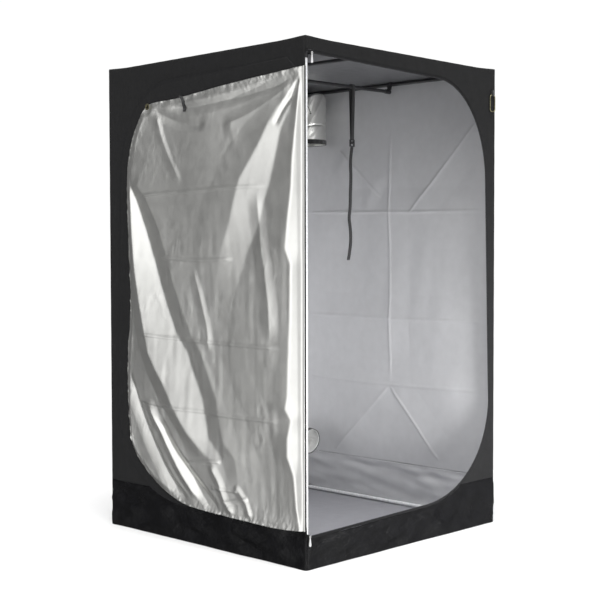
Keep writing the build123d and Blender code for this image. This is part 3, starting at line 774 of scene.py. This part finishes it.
# The sheet's long folds, from the hinge outwards. Each line is a ridge or a valley that runs up the sheet,
# as (z, y, how far it stands off the door).
LONG_FOLDS = [
    [(0.13, -0.600, 0.0005), (1.90, -0.600, 0.0005)],
    [(0.13, -0.589, 0.0005), (1.90, -0.589, 0.0005)],
    [(0.13, -0.582, 0.002), (0.17, -0.580, 0.006), (0.23, -0.570, 0.016), (0.36, -0.561, 0.023),
     (0.43, -0.531, 0.029), (0.50, -0.532, 0.029), (0.57, -0.548, 0.025), (0.61, -0.522, 0.031),
     (0.66, -0.533, 0.029), (0.85, -0.541, 0.028), (1.16, -0.550, 0.027), (1.22, -0.525, 0.032),
     (1.31, -0.535, 0.03), (1.45, -0.552, 0.026), (1.56, -0.556, 0.024), (1.66, -0.566, 0.019),
     (1.79, -0.580, 0.009), (1.87, -0.587, 0.004), (1.90, -0.587, 0.002)],
    [(0.13, -0.454, 0.004), (0.38, -0.456, 0.018), (0.60, -0.420, 0.022), (0.80, -0.289, 0.021),
     (0.90, -0.177, 0.019), (1.03, -0.233, 0.02), (1.12, -0.267, 0.018), (1.22, -0.312, 0.017),
     (1.31, -0.372, 0.017), (1.40, -0.395, 0.016), (1.47, -0.426, 0.015), (1.56, -0.453, 0.014),
     (1.67, -0.483, 0.013), (1.74, -0.526, 0.011), (1.80, -0.546, 0.004), (1.87, -0.579, 0.002),
     (1.90, -0.583, 0.001)],
    [(0.13, -0.403, 0.0035), (0.38, -0.374, 0.0158), (0.60, -0.267, 0.0194), (0.80, -0.137, 0.0194),
     (0.90, -0.078, 0.0202), (1.03, -0.120, 0.022), (1.12, -0.136, 0.0238), (1.22, -0.165, 0.0282),
     (1.31, -0.212, 0.0334), (1.41, -0.245, 0.037), (1.49, -0.274, 0.037), (1.57, -0.338, 0.0343),
     (1.64, -0.390, 0.0299), (1.70, -0.424, 0.0246), (1.75, -0.465, 0.0185), (1.79, -0.512, 0.0123),
     (1.86, -0.573, 0.0035), (1.90, -0.579, 0.0018)],
    [(0.13, -0.304, 0.004), (0.38, -0.296, 0.018), (0.60, -0.170, 0.022), (0.80, -0.050, 0.022),
     (1.03, 0.010, 0.022), (1.22, 0.008, 0.024), (1.41, -0.043, 0.025), (1.49, -0.116, 0.024),
     (1.58, -0.157, 0.022), (1.65, -0.230, 0.019), (1.71, -0.301, 0.015), (1.76, -0.377, 0.011),
     (1.80, -0.472, 0.007), (1.87, -0.558, 0.003), (1.90, -0.572, 0.002)],
    [(0.13, -0.254, 0.004), (0.38, -0.234, 0.022), (0.45, -0.156, 0.024), (0.61, -0.121, 0.025),
     (0.80, -0.027, 0.024), (0.87, 0.033, 0.024), (0.97, 0.088, 0.024), (1.07, 0.139, 0.023),
     (1.17, 0.179, 0.023), (1.30, 0.235, 0.022), (1.43, 0.317, 0.02), (1.49, 0.386, 0.016),
     (1.85, 0.189, 0.012)],
    [(0.13, -0.204, 0.004), (0.25, -0.193, 0.014), (0.38, -0.150, 0.018), (0.45, -0.068, 0.016),
     (0.61, -0.030, 0.013), (0.72, 0.031, 0.011), (0.80, 0.068, 0.011), (0.87, 0.132, 0.01),
     (0.97, 0.186, 0.008), (1.07, 0.233, 0.008), (1.17, 0.273, 0.007), (1.30, 0.329, 0.006),
     (1.43, 0.393, 0.008), (1.49, 0.437, 0.008), (1.56, 0.441, 0.01), (1.85, 0.291, 0.01)],
    [(0.13, -0.124, 0.004), (0.25, -0.114, 0.016), (0.36, -0.090, 0.024), (0.41, -0.013, 0.029),
     (0.46, 0.050, 0.034), (0.53, 0.110, 0.038), (0.58, 0.146, 0.04), (0.65, 0.190, 0.041),
     (0.71, 0.236, 0.045), (0.78, 0.286, 0.045), (0.88, 0.315, 0.045), (0.99, 0.348, 0.044),
     (1.12, 0.377, 0.042), (1.27, 0.397, 0.036), (1.43, 0.420, 0.023), (1.49, 0.441, 0.012),
     (1.56, 0.447, 0.011), (1.85, 0.321, 0.01)],
    [(0.13, -0.004, 0.004), (0.30, 0.017, 0.014), (0.41, 0.085, 0.017), (0.46, 0.119, 0.018),
     (0.57, 0.226, 0.021), (0.68, 0.310, 0.022), (0.80, 0.370, 0.022), (0.90, 0.402, 0.02),
     (1.10, 0.431, 0.016), (1.43, 0.447, 0.012), (1.56, 0.456, 0.01), (1.85, 0.351, 0.01)],
    [(0.13, 0.469, 0.012), (1.90, 0.473, 0.008)],
]

# Its short folds: route of (y, z), then the width to its left, the width to its right and the height
# of its crest, each as one number or at the route's start and end. A negative height is a valley.
FOLDS = [
    ([(-0.575, 1.860), (-0.530, 1.790), (-0.490, 1.740), (-0.450, 1.680)],
     (0.012, 0.02), (0.012, 0.02), (-0.005, -0.004)),
    ([(0.446, 0.692), (0.385, 0.556), (0.320, 0.442), (0.234, 0.326), (0.149, 0.233), (0.046, 0.160)],
     (0.05, 0.06), (0.02, 0.024), -0.012),
    ([(0.257, 0.520), (0.169, 0.402), (0.086, 0.323), (0.004, 0.252), (-0.095, 0.175), (-0.148, 0.152)],
     (0.05, 0.045), (0.03, 0.035), -0.013),
    ([(0.332, 0.590), (0.244, 0.470), (0.152, 0.350), (0.062, 0.250), (-0.018, 0.180)],
     0.03, 0.04, 0.01),
    ([(0.262, 1.802), (0.207, 1.662), (0.130, 1.544), (0.087, 1.486)],
     (0.05, 0.04), 0.02, (0.004, 0.003)),
    ([(0.292, 1.800), (0.182, 1.760), (0.102, 1.735), (0.009, 1.718), (-0.068, 1.720)],
     (0.025, 0.03), (0.03, 0.04), (-0.006, -0.008)),
    ([(-0.558, 1.878), (-0.338, 1.832), (-0.158, 1.806), (0.042, 1.795), (0.192, 1.806)],
     (0.022, 0.02), (0.03, 0.04), (-0.009, -0.008)),
    ([(-0.553, 1.850), (-0.438, 1.790), (-0.308, 1.740), (-0.158, 1.700)],
     (0.03, 0.05), (0.05, 0.09), (0.005, 0.007)),
    ([(-0.358, 1.450), (-0.383, 1.250), (-0.428, 1.020), (-0.438, 0.850)],
     (0.05, 0.06), (0.04, 0.05), (0.004, 0.006)),
    ([(0.012, 1.140), (-0.038, 1.000), (-0.068, 0.900), (-0.078, 0.800)],
     (0.04, 0.05), (0.02, 0.03), (0.003, 0.004)),
    ([(-0.077, 0.349), (-0.128, 0.280), (-0.164, 0.200), (-0.218, 0.150)],
     0.03, 0.03, (0.005, 0.006)),
    ([(-0.218, 0.280), (-0.278, 0.220), (-0.308, 0.150)],
     0.03, 0.02, (0.004, 0.005)),
]
PACKING_LINES = [
    [(0.366, 1.440), (0.273, 1.447), (-0.020, 1.452), (-0.208, 1.458), (-0.412, 1.457)],
    [(0.230, 1.182), (0.110, 1.176), (-0.021, 1.171), (-0.230, 1.177)],
    [(0.366, 0.858), (0.141, 0.845), (-0.179, 0.839), (-0.500, 0.837)],
    [(0.410, 0.574), (0.186, 0.557), (-0.021, 0.555), (-0.272, 0.551), (-0.499, 0.557)],
    [(0.073, 0.333), (-0.059, 0.355), (-0.147, 0.362)],
    [(-0.078, 0.251), (-0.242, 0.253)],
    [(-0.140, 0.196), (-0.299, 0.232)],
]


def patch(foot, top, hinge, side, rows, cols):
    """A grid over a shape with four curved sides."""
    s = np.linspace(0, 1, cols)[None, :, None]
    t = np.linspace(0, 1, rows)[:, None, None]
    b, c = even(foot, cols)[None], even(top, cols)[None]
    d, e = even(hinge, rows)[:, None], even(side, rows)[:, None]
    low = (1 - s) * (1 - t) * b[:, :1] + s * (1 - t) * b[:, -1:]
    high = (1 - s) * t * c[:, :1] + s * t * c[:, -1:]
    return (1 - t) * b + t * c + (1 - s) * d + s * e - (low + high)


def soften(height, passes):
    """Rounds off a height map's creases, one grid cell more with each pass."""
    for _ in range(passes):
        padded = np.pad(height, 1, mode="edge")
        across = (padded[1:-1, :-2] + 2 * padded[1:-1, 1:-1] + padded[1:-1, 2:]) / 4
        padded = np.pad(across, 1, mode="edge")
        height = (padded[:-2, 1:-1] + 2 * padded[1:-1, 1:-1] + padded[2:, 1:-1]) / 4
    return height


def long_folds(y, z):
    """Straight facets between the long folds' lines."""
    lines = [np.array(line).T for line in LONG_FOLDS]
    places = [np.interp(z, line[0], line[1]) for line in lines]
    heights = [np.interp(z, line[0], line[2]) for line in lines]
    total = np.full(y.shape, heights[-1])
    for k in range(len(lines) - 2, -1, -1):
        t = np.clip((y - places[k]) / np.maximum(places[k + 1] - places[k], 0.004), 0, 1)
        total = np.where(y < places[k + 1], heights[k] * (1 - t) + heights[k + 1] * t, total)
    return total


def sheet_height(y, z):
    """How far the silver sheet stands off the door's canvas as it hangs."""
    height = soften(long_folds(y, z), 4)
    inner = smooth((y + 0.585) / 0.06)
    height = height + 0.004 * inner * lattice(y, z, 0.24, 0.34, 103)
    for route, left, right, tall in FOLDS:
        height = height + crest(y, z, route, left, right, tall)
    for route in PACKING_LINES:
        height = height + crest(y, z, route, 0.007, 0.012, 0.0032, 0.1, 0.0006, 1.0)
    height = height + 0.0006 * inner * lattice(y, z, 0.026, 0.14, 107) * smooth((1.45 - z) / 0.3)
    crinkled = smooth((lattice(y, z, 0.16, 0.2, 127) + lattice(y, z, 0.07, 0.08, 128) - 0.35) / 0.5)
    crinkles = 0.0010 * crumple(y, z, 0.14, 109) + 0.0013 * crinkled * crumple(y, 0.6 * z, 0.05, 113)
    return np.maximum(height + inner * crinkles, 0.0006)


def edge_gathers(y, z):
    """Puckers where the sheet is sewn to its zip, and how much of the height is left there."""
    s = np.linspace(0, 1, y.shape[1])[None]
    t = np.linspace(0, 1, y.shape[0])[:, None]
    to_side = 1 - s
    to_top = (1 - t) * SHEET_TALL
    to_foot = t * SHEET_TALL
    gathers = 0
    for gap, along, seed in ((to_side, z, 131), (to_top, y, 137), (to_foot, y, 139)):
        fine = np.abs(lattice(along + 0.8 * gap, gap - 0.3 * along, 0.011, 0.03, seed))
        broad = 0.5 + crumple(along, gap, 0.045, seed + 1)
        gathers = gathers + (0.002 * fine + 0.005 * broad) * np.exp(-gap / 0.025)
    held = smooth(to_side / 0.05 + 0.15) * smooth(to_top / 0.05 + 0.15) * smooth(to_foot / 0.04 + 0.2)
    return gathers, held


def make_sheet():
    """The silver sheet of the door. Returns its grid and how far it stands off the door."""
    foot, top, side = (sampled(line, 200) for line in (SHEET_FOOT, SHEET_TOP, SHEET_SIDE[::-1]))
    hinge = np.array([SHEET_FOOT[0], SHEET_TOP[0]])
    flat = patch(foot, top, hinge, side, 480, 300)
    y, z = flat[..., 0], flat[..., 1]
    gathers, held = edge_gathers(y, z)
    height = sheet_height(y, z) * held + gathers
    to_eyelet = np.hypot(y - EYELET[0], z - EYELET[1])
    off_hinge = smooth((y + 0.590) / 0.02)
    height = 0.0004 + height * smooth((to_eyelet - 0.016) / 0.03) * (0.1 + 0.9 * off_hinge)
    y, z, inside = around_hole(y, z, *EYELET, 0.0082)
    points = np.stack([SHEET_X - height, y, z], axis=-1)
    obj = grid_object("door_lining", points, FILM, drop=inside, outward=(-1, 0, 0))
    thicken(obj, 0.0006, offset=1.0)
    place(obj, "door", "reflective_lining")
    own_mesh(obj)
    return y, z, height


def make_door():
    """The door's black canvas, whose edge is cut off at the top hinge corner to clear the frame."""
    _, upper, side, lower, _ = opening_runs(-0.003)
    foot_z, top_z = 0.152, 1.900
    hinge = np.array([(HINGE_Y, foot_z), (HINGE_Y, top_z)])
    foot = [(HINGE_Y, foot_z), (-0.566, foot_z), (-0.540, 0.137), (0.100, 0.150)]
    top = [(HINGE_Y, top_z), (-0.552, top_z), (-0.505, 1.943), (0.190, 1.922)]
    flat = patch(joined([foot, lower[::-1]]), joined([top, upper]), hinge, side[::-1], 200, 150)
    y, z, inside = around_hole(flat[..., 0], flat[..., 1], *EYELET, 0.0078)
    x = DOOR_FACE + 0.00015 + 0.0002 * lattice(y, z, 0.1, 0.2, 151)
    points = np.stack([x, y, z], axis=-1)
    obj = grid_object("door_outer", points, CANVAS, drop=inside, outward=(-1, 0, 0))
    thicken(obj, 0.0015)
    place(obj, "door", "door_canvas", "door_panel")


# ---------------------------------------------------------------- duct sleeves
SLEEVE_X, SLEEVE_Y, SLEEVE_Z, SLEEVE_R = 0.455, 0.420, 1.865, 0.0975  # where the upper one turns down
LOW_X, LOW_Z, LOW_R = 0.460, 0.290, 0.0605  # where the lower one leaves the wall
BACK_HOLES = [(SLEEVE_X, SLEEVE_Z, SLEEVE_R + 0.001), (LOW_X, LOW_Z, LOW_R)]


def hem(name, line, radius, sides, node):
    """The black band round a sleeve's open end."""
    obj = grid_object(name, tube_points(line, radius, sides), WEBBING, wrap=True)
    thicken(obj, 0.0016, offset=0.0)
    place(obj, "tent", "webbing", node)


def sleeve_upper():
    """It comes in from the wall and turns down at a mitre, with its shoulder crumpled."""
    angle = np.linspace(0, 2 * math.pi, 128, endpoint=False)
    cos, sin = np.cos(angle), np.sin(angle)
    side, rise = SLEEVE_R * cos, SLEEVE_R * sin
    in_run, down_run, end_z = 0.13, 0.16, 1.724
    rings = []
    for share in np.linspace(0, 1, 46):
        loose = 0.005 * smooth(share / 0.2) * crumple(side + in_run * share, rise, 0.045, 201)
        reach = SLEEVE_R + loose
        y = WALL_INSIDE * (1 - share) + (SLEEVE_Y - rise) * share
        rings.append(np.stack([SLEEVE_X + reach * cos, y, SLEEVE_Z + reach * sin], axis=1))
    for share in np.linspace(0, 1, 90)[1:]:
        run = in_run + down_run * share
        loose = 0.005 * smooth((0.93 - share) / 0.15) * crumple(side + run, rise, 0.045, 201)
        reach = SLEEVE_R + loose - 0.002 * np.exp(-(((share - 0.62) / 0.012) ** 2))
        z = (SLEEVE_Z + rise) * (1 - share) + end_z * share
        rings.append(np.stack([SLEEVE_X + reach * cos, SLEEVE_Y - reach * sin, z], axis=1))
    obj = grid_object("upper_sleeve", np.array(rings), FILM, wrap=True)
    thicken(obj, 0.001, offset=0.0)
    place(obj, "tent", "reflective_lining", "duct_sleeve_upper")
    line = even(np.array([(SLEEVE_X, SLEEVE_Y, 1.7435), (SLEEVE_X, SLEEVE_Y, 1.7218)]), 8)

    def radius(angle, share):
        return 0.1000 + 0.0009 * np.sin(23 * angle) * np.sin(3 * share)

    hem("upper_sleeve_hem", line, radius, 160, "sleeve_hem_upper")


def sleeve_lower():
    """It comes straight in and droops a little towards its end."""
    share = np.linspace(0, 1, 80)
    length, droop = 0.203, 0.016
    y, z = WALL_INSIDE - length * share, LOW_Z - droop * share**2
    line = np.stack([np.full(80, LOW_X), y, z], axis=1)

    def radius(angle, share):
        loose = smooth(share / 0.2) * smooth((1 - share) / 0.12)
        folds = crumple(angle * 0.06, np.full_like(angle, share * 0.20), 0.04, 211)
        return LOW_R + loose * 0.005 * folds - 0.003 * smooth(share) * (1 + np.sin(angle))

    obj = grid_object("lower_sleeve", tube_points(line, radius, 96), SLEEVE_CLOTH, wrap=True)
    thicken(obj, 0.001, offset=0.0)
    place(obj, "tent", "reflective_lining", "duct_sleeve_lower")
    line = np.linspace((LOW_X, 0.416, LOW_Z - 0.0125), (LOW_X, 0.394, LOW_Z - 0.0157), 8)

    def hem_radius(angle, share):
        return 0.0650 - 0.003 * (1 + np.sin(angle))

    hem("lower_sleeve_hem", line, hem_radius, 96, "sleeve_hem_lower")


def make_ports():
    """Bound edges of the two ports, on the outside of the back wall."""
    angle = np.linspace(0, 2 * math.pi, 120, endpoint=False)
    cos, sin = np.cos(angle), np.sin(angle)
    for k, (x, z, r) in enumerate(BACK_HOLES):
        rings = []
        for share in np.linspace(0, 1, 7):
            reach = r + 0.001 + 0.0125 * share
            y = np.full(120, 0.6005 + 0.0012 * math.sin(share * math.pi))
            rings.append(np.stack([x + reach * cos, y, z + reach * sin], axis=1))
        obj = grid_object(f"port_binding_{k + 1}", np.array(rings), WEBBING, wrap=True, outward=(0, 1, 0))
        thicken(obj, 0.0012)
        place(obj, "tent", "webbing", "port_collars")


# ---------------------------------------------------------------- straps and cords
STRAP_WIDE, STRAP_THICK = 0.020, 0.0016


def band(name, line):
    """A flat strap along a line, with its width along X."""
    across = np.array([1.0, 0.0, 0.0])
    share = np.linspace(-0.5, 0.5, 7)
    crown = 0.0002 * np.cos(share * math.pi)
    normal = np.cross(np.gradient(line, axis=0), across)
    normal /= np.linalg.norm(normal, axis=1)[:, None]
    flat = line[:, None] + share[None, :, None] * STRAP_WIDE * across
    obj = grid_object(name, flat + normal[:, None] * crown[None, :, None], WEBBING)
    return thicken(obj, STRAP_THICK, offset=0.0)


STRAP_X = 0.315
TAIL_YZ = [
    (-0.0100, 1.6812), (-0.0025, 1.6450), (-0.0005, 1.5950), (-0.0035, 1.5480), (0.0000, 1.4750),
    (0.0010, 1.4050), (0.0095, 1.3570), (0.0015, 1.3180), (-0.0030, 1.2720), (0.0015, 1.2150),
    (0.0130, 1.1650),
]
LOOP_YZ = [
    (-0.0126, 1.7163), (-0.0150, 1.8000), (-0.0176, 1.8800), (-0.0193, 1.9480), (-0.0193, 1.9660),
    (-0.0007, 1.9660), (-0.0007, 1.9480), (-0.0024, 1.8800), (-0.0050, 1.8000), (-0.0074, 1.7163),
]
STRAP_TAIL = [(STRAP_X, y, z) for y, z in TAIL_YZ]
STRAP_LOOP = [(STRAP_X, y, z) for y, z in LOOP_YZ]


def round_sleeve(angle, reach, z):
    """A point beside the upper sleeve, at an angle in degrees and a reach from its axis."""
    turn = math.radians(angle)
    return (SLEEVE_X + reach * math.cos(turn), SLEEVE_Y + reach * math.sin(turn), z)


DRAWSTRING = [
    round_sleeve(223.0, 0.1066, 1.9215),
    round_sleeve(225.0, 0.1055, 1.911),
    round_sleeve(229.0, 0.1035, 1.901),
    round_sleeve(234.0, 0.1030, 1.888),
    round_sleeve(237.5, 0.1040, 1.867),
]


def make_straps():
    line = smooth_route("loop_route", STRAP_LOOP)
    loop = band("hanging_loop", line)
    place(loop, "hanging_strap", "webbing", "strap_loop")
    line = smooth_route("tail_route", STRAP_TAIL)
    tail = band("hanging_tail", line)
    place(tail, "strap_tail", "webbing", "strap_tail")
    string = route_curve("sleeve_drawstring", DRAWSTRING, 0.00125)
    string.data.materials.append(WEBBING)
    place(string, "tent", "webbing", "drawstring_upper")
    ends = ["cord_lock_upper", make_knot("drawstring_knot", DRAWSTRING[-1], 0.0032)]


def make_knot(name, at, size):
    """A small closed trefoil of the same cord."""
    t = np.linspace(0, 2 * math.pi, 60)
    shape = np.stack([np.sin(t) + 2 * np.sin(2 * t), np.cos(t) - 2 * np.cos(2 * t), -np.sin(3 * t)], axis=1)
    line = np.array(at) + (0, 0, -0.002) + shape * size / 3
    knot = grid_object(name, tube_points(line, 0.0012, 8), WEBBING, wrap=True)
    return place(knot, "tent", "webbing")


def make_loop():
    """The webbing loop that holds the carabiner."""
    x, y, z = 0.572, -0.6057, 1.8971
    half_z, half_y, half_wide = 0.0082, 0.0047, 0.005
    t = np.linspace(0, 2 * math.pi, 64, endpoint=False)
    ys = y + half_y * np.cos(t)
    zs = z + (half_y * np.sin(t) + np.where(np.sin(t) > 0, half_z, -half_z))
    xs = x + np.linspace(-half_wide, half_wide, 5)
    rings = [np.stack([np.full(64, at), ys, zs], axis=1) for at in xs]
    obj = grid_object("carabiner_webbing", np.array(rings), WEBBING, wrap=True)
    thicken(obj, 0.0013, offset=0.0)
    place(obj, "tent", "webbing", "carabiner_loop")


def make_tie(heights):
    """The tie strap on the silver sheet: it lies over the folds."""
    y, z, height = heights
    line = even(np.array([(0.103, 1.846), (0.082, 1.822), (0.078, 1.780)]), 40)
    rows = []
    for share in np.linspace(-0.5, 0.5, 7):
        py, pz = line[:, 0] + 0.017 * share, line[:, 1]
        near = [np.argmin((y - a) ** 2 + (z - b) ** 2) for a, b in zip(py, pz)]
        proud = height.reshape(-1)[near]
        rows.append(np.stack([SHEET_X - proud, py, pz], axis=1))
    points = np.array(rows)
    outermost = np.pad(points[..., 0].min(axis=0), 4, mode="edge")
    points[..., 0] = np.convolve(outermost, np.ones(9) / 9, "valid")[None] - 0.0024
    obj = grid_object("tie_strap", points, WEBBING, outward=(-1, 0, 0))
    thicken(obj, STRAP_THICK, offset=0.0)
    place(obj, "door", "webbing", "door_tie_strap")
    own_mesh(obj)


# ---------------------------------------------------------------- stage
def make_stage():
    """A pale floor just under the tent. Glossy surfaces don't mirror it."""
    half, z = 1.7, -0.0004
    corners = np.array([(-half, -half, z), (half, -half, z), (half, half, z), (-half, half, z)])
    mat, _, _ = new_material("pale_floor", (0.86, 0.86, 0.86), 0.8, gloss=0.1)
    floor = mesh_object("stage_floor", corners, [(0, 1, 2, 3)], mat, smooth_shaded=False)
    floor.visible_glossy = False


def area_light(name, at, towards, side, power, spread=180):
    light = bpy.data.lights.new(name, "AREA")
    light.shape = "RECTANGLE"
    light.size = side
    light.size_y = side
    light.energy = power
    light.spread = math.radians(spread)
    obj = add_object(name, light)
    obj.location = at
    obj.rotation_euler = (Vector(towards) - Vector(at)).to_track_quat("-Z", "Y").to_euler()


def overhead_sun():
    """A broad soft sun that lights the floor evenly."""
    light = bpy.data.lights.new("overhead", "SUN")
    light.energy = 3.2
    light.angle = 1.1
    add_object("overhead", light).rotation_euler = (0.12, -0.12, 0)


def make_world():
    """A white backdrop for the camera, and a studio that is brighter on the camera's side."""
    world = bpy.data.worlds.new("studio")
    bpy.context.scene.world = world
    world.use_nodes = True
    tree = world.node_tree
    tree.nodes.clear()
    coords = tree.nodes.new("ShaderNodeTexCoord")
    towards = add(tree, "ShaderNodeVectorMath")
    towards.operation = "DOT_PRODUCT"
    turn = math.radians(235)
    towards.inputs[1].default_value = Vector((math.cos(turn), math.sin(turn), -0.12)).normalized()
    tree.links.new(coords.outputs["Generated"], towards.inputs[0])
    ranged = add(tree, "ShaderNodeMapRange", **{"From Min": -1.0, "From Max": 1.0})
    tree.links.new(towards.outputs["Value"], ranged.inputs["Value"])
    ramp = tree.nodes.new("ShaderNodeValToRGB")
    stops = [
        (0.0, 0.2), (0.18, 0.10), (0.33, 0.14), (0.41, 0.27), (0.48, 0.50),
        (0.58, 1.0), (0.70, 1.6), (0.80, 1.6), (0.92, 0.8), (1.0, 0.6),
    ]
    elements = ramp.color_ramp.elements
    while len(elements) < len(stops):
        elements.new(0.5)
    for element, (where, value) in zip(elements, stops):
        element.position = where
        element.color = (value / 2, value / 2, value / 2, 1)  # doubled by the background's strength
    tree.links.new(ranged.outputs["Result"], ramp.inputs["Fac"])
    studio = add(tree, "ShaderNodeBackground", Strength=2.0)
    tree.links.new(ramp.outputs["Color"], studio.inputs["Color"])
    backdrop = add(tree, "ShaderNodeBackground", Strength=1.02)
    backdrop.inputs["Color"].default_value = (1, 1, 1, 1)
    rays = tree.nodes.new("ShaderNodeLightPath")
    mix = tree.nodes.new("ShaderNodeMixShader")
    output = tree.nodes.new("ShaderNodeOutputWorld")
    tree.links.new(rays.outputs["Is Camera Ray"], mix.inputs["Fac"])
    tree.links.new(studio.outputs[0], mix.inputs[1])
    tree.links.new(backdrop.outputs[0], mix.inputs[2])
    tree.links.new(mix.outputs[0], output.inputs["Surface"])


def make_camera():
    yaw, pitch, roll = math.radians(44.34), math.radians(-2.37), math.radians(-0.12)
    ahead = Vector((math.cos(yaw) * math.cos(pitch), math.sin(yaw) * math.cos(pitch), math.sin(pitch)))
    right = Vector((math.sin(yaw), -math.cos(yaw), 0))
    up = right.cross(ahead)
    right, up = (
        right * math.cos(roll) + up * math.sin(roll),
        up * math.cos(roll) - right * math.sin(roll),
    )
    camera = add_object("camera", bpy.data.cameras.new("camera"))
    camera.data.lens = 76.07
    camera.data.sensor_width = 36.0
    camera.data.clip_end = 200.0
    facing = Matrix((right, up, -ahead)).transposed().to_4x4()
    camera.matrix_world = Matrix.Translation((-4.012, -3.904, 1.223)) @ facing
    bpy.context.scene.camera = camera


make_camera()
make_world()
overhead_sun()
area_light("key_light", (1.4, -4.4, 1.6), (0.2, -0.6, 1.1), 2.0, 8)
area_light("door_light", (-0.25, -3.0, 0.35), (0.5, 0.3, 0.75), 0.8, 10, spread=50)
make_stage()
make_straps()
make_cover()
make_front()
make_seams()
make_zips()
make_door()
make_tie(make_sheet())
sleeve_upper()
sleeve_lower()
make_ports()
make_loop()
bpy.context.scene.view_settings.view_transform = "Standard"
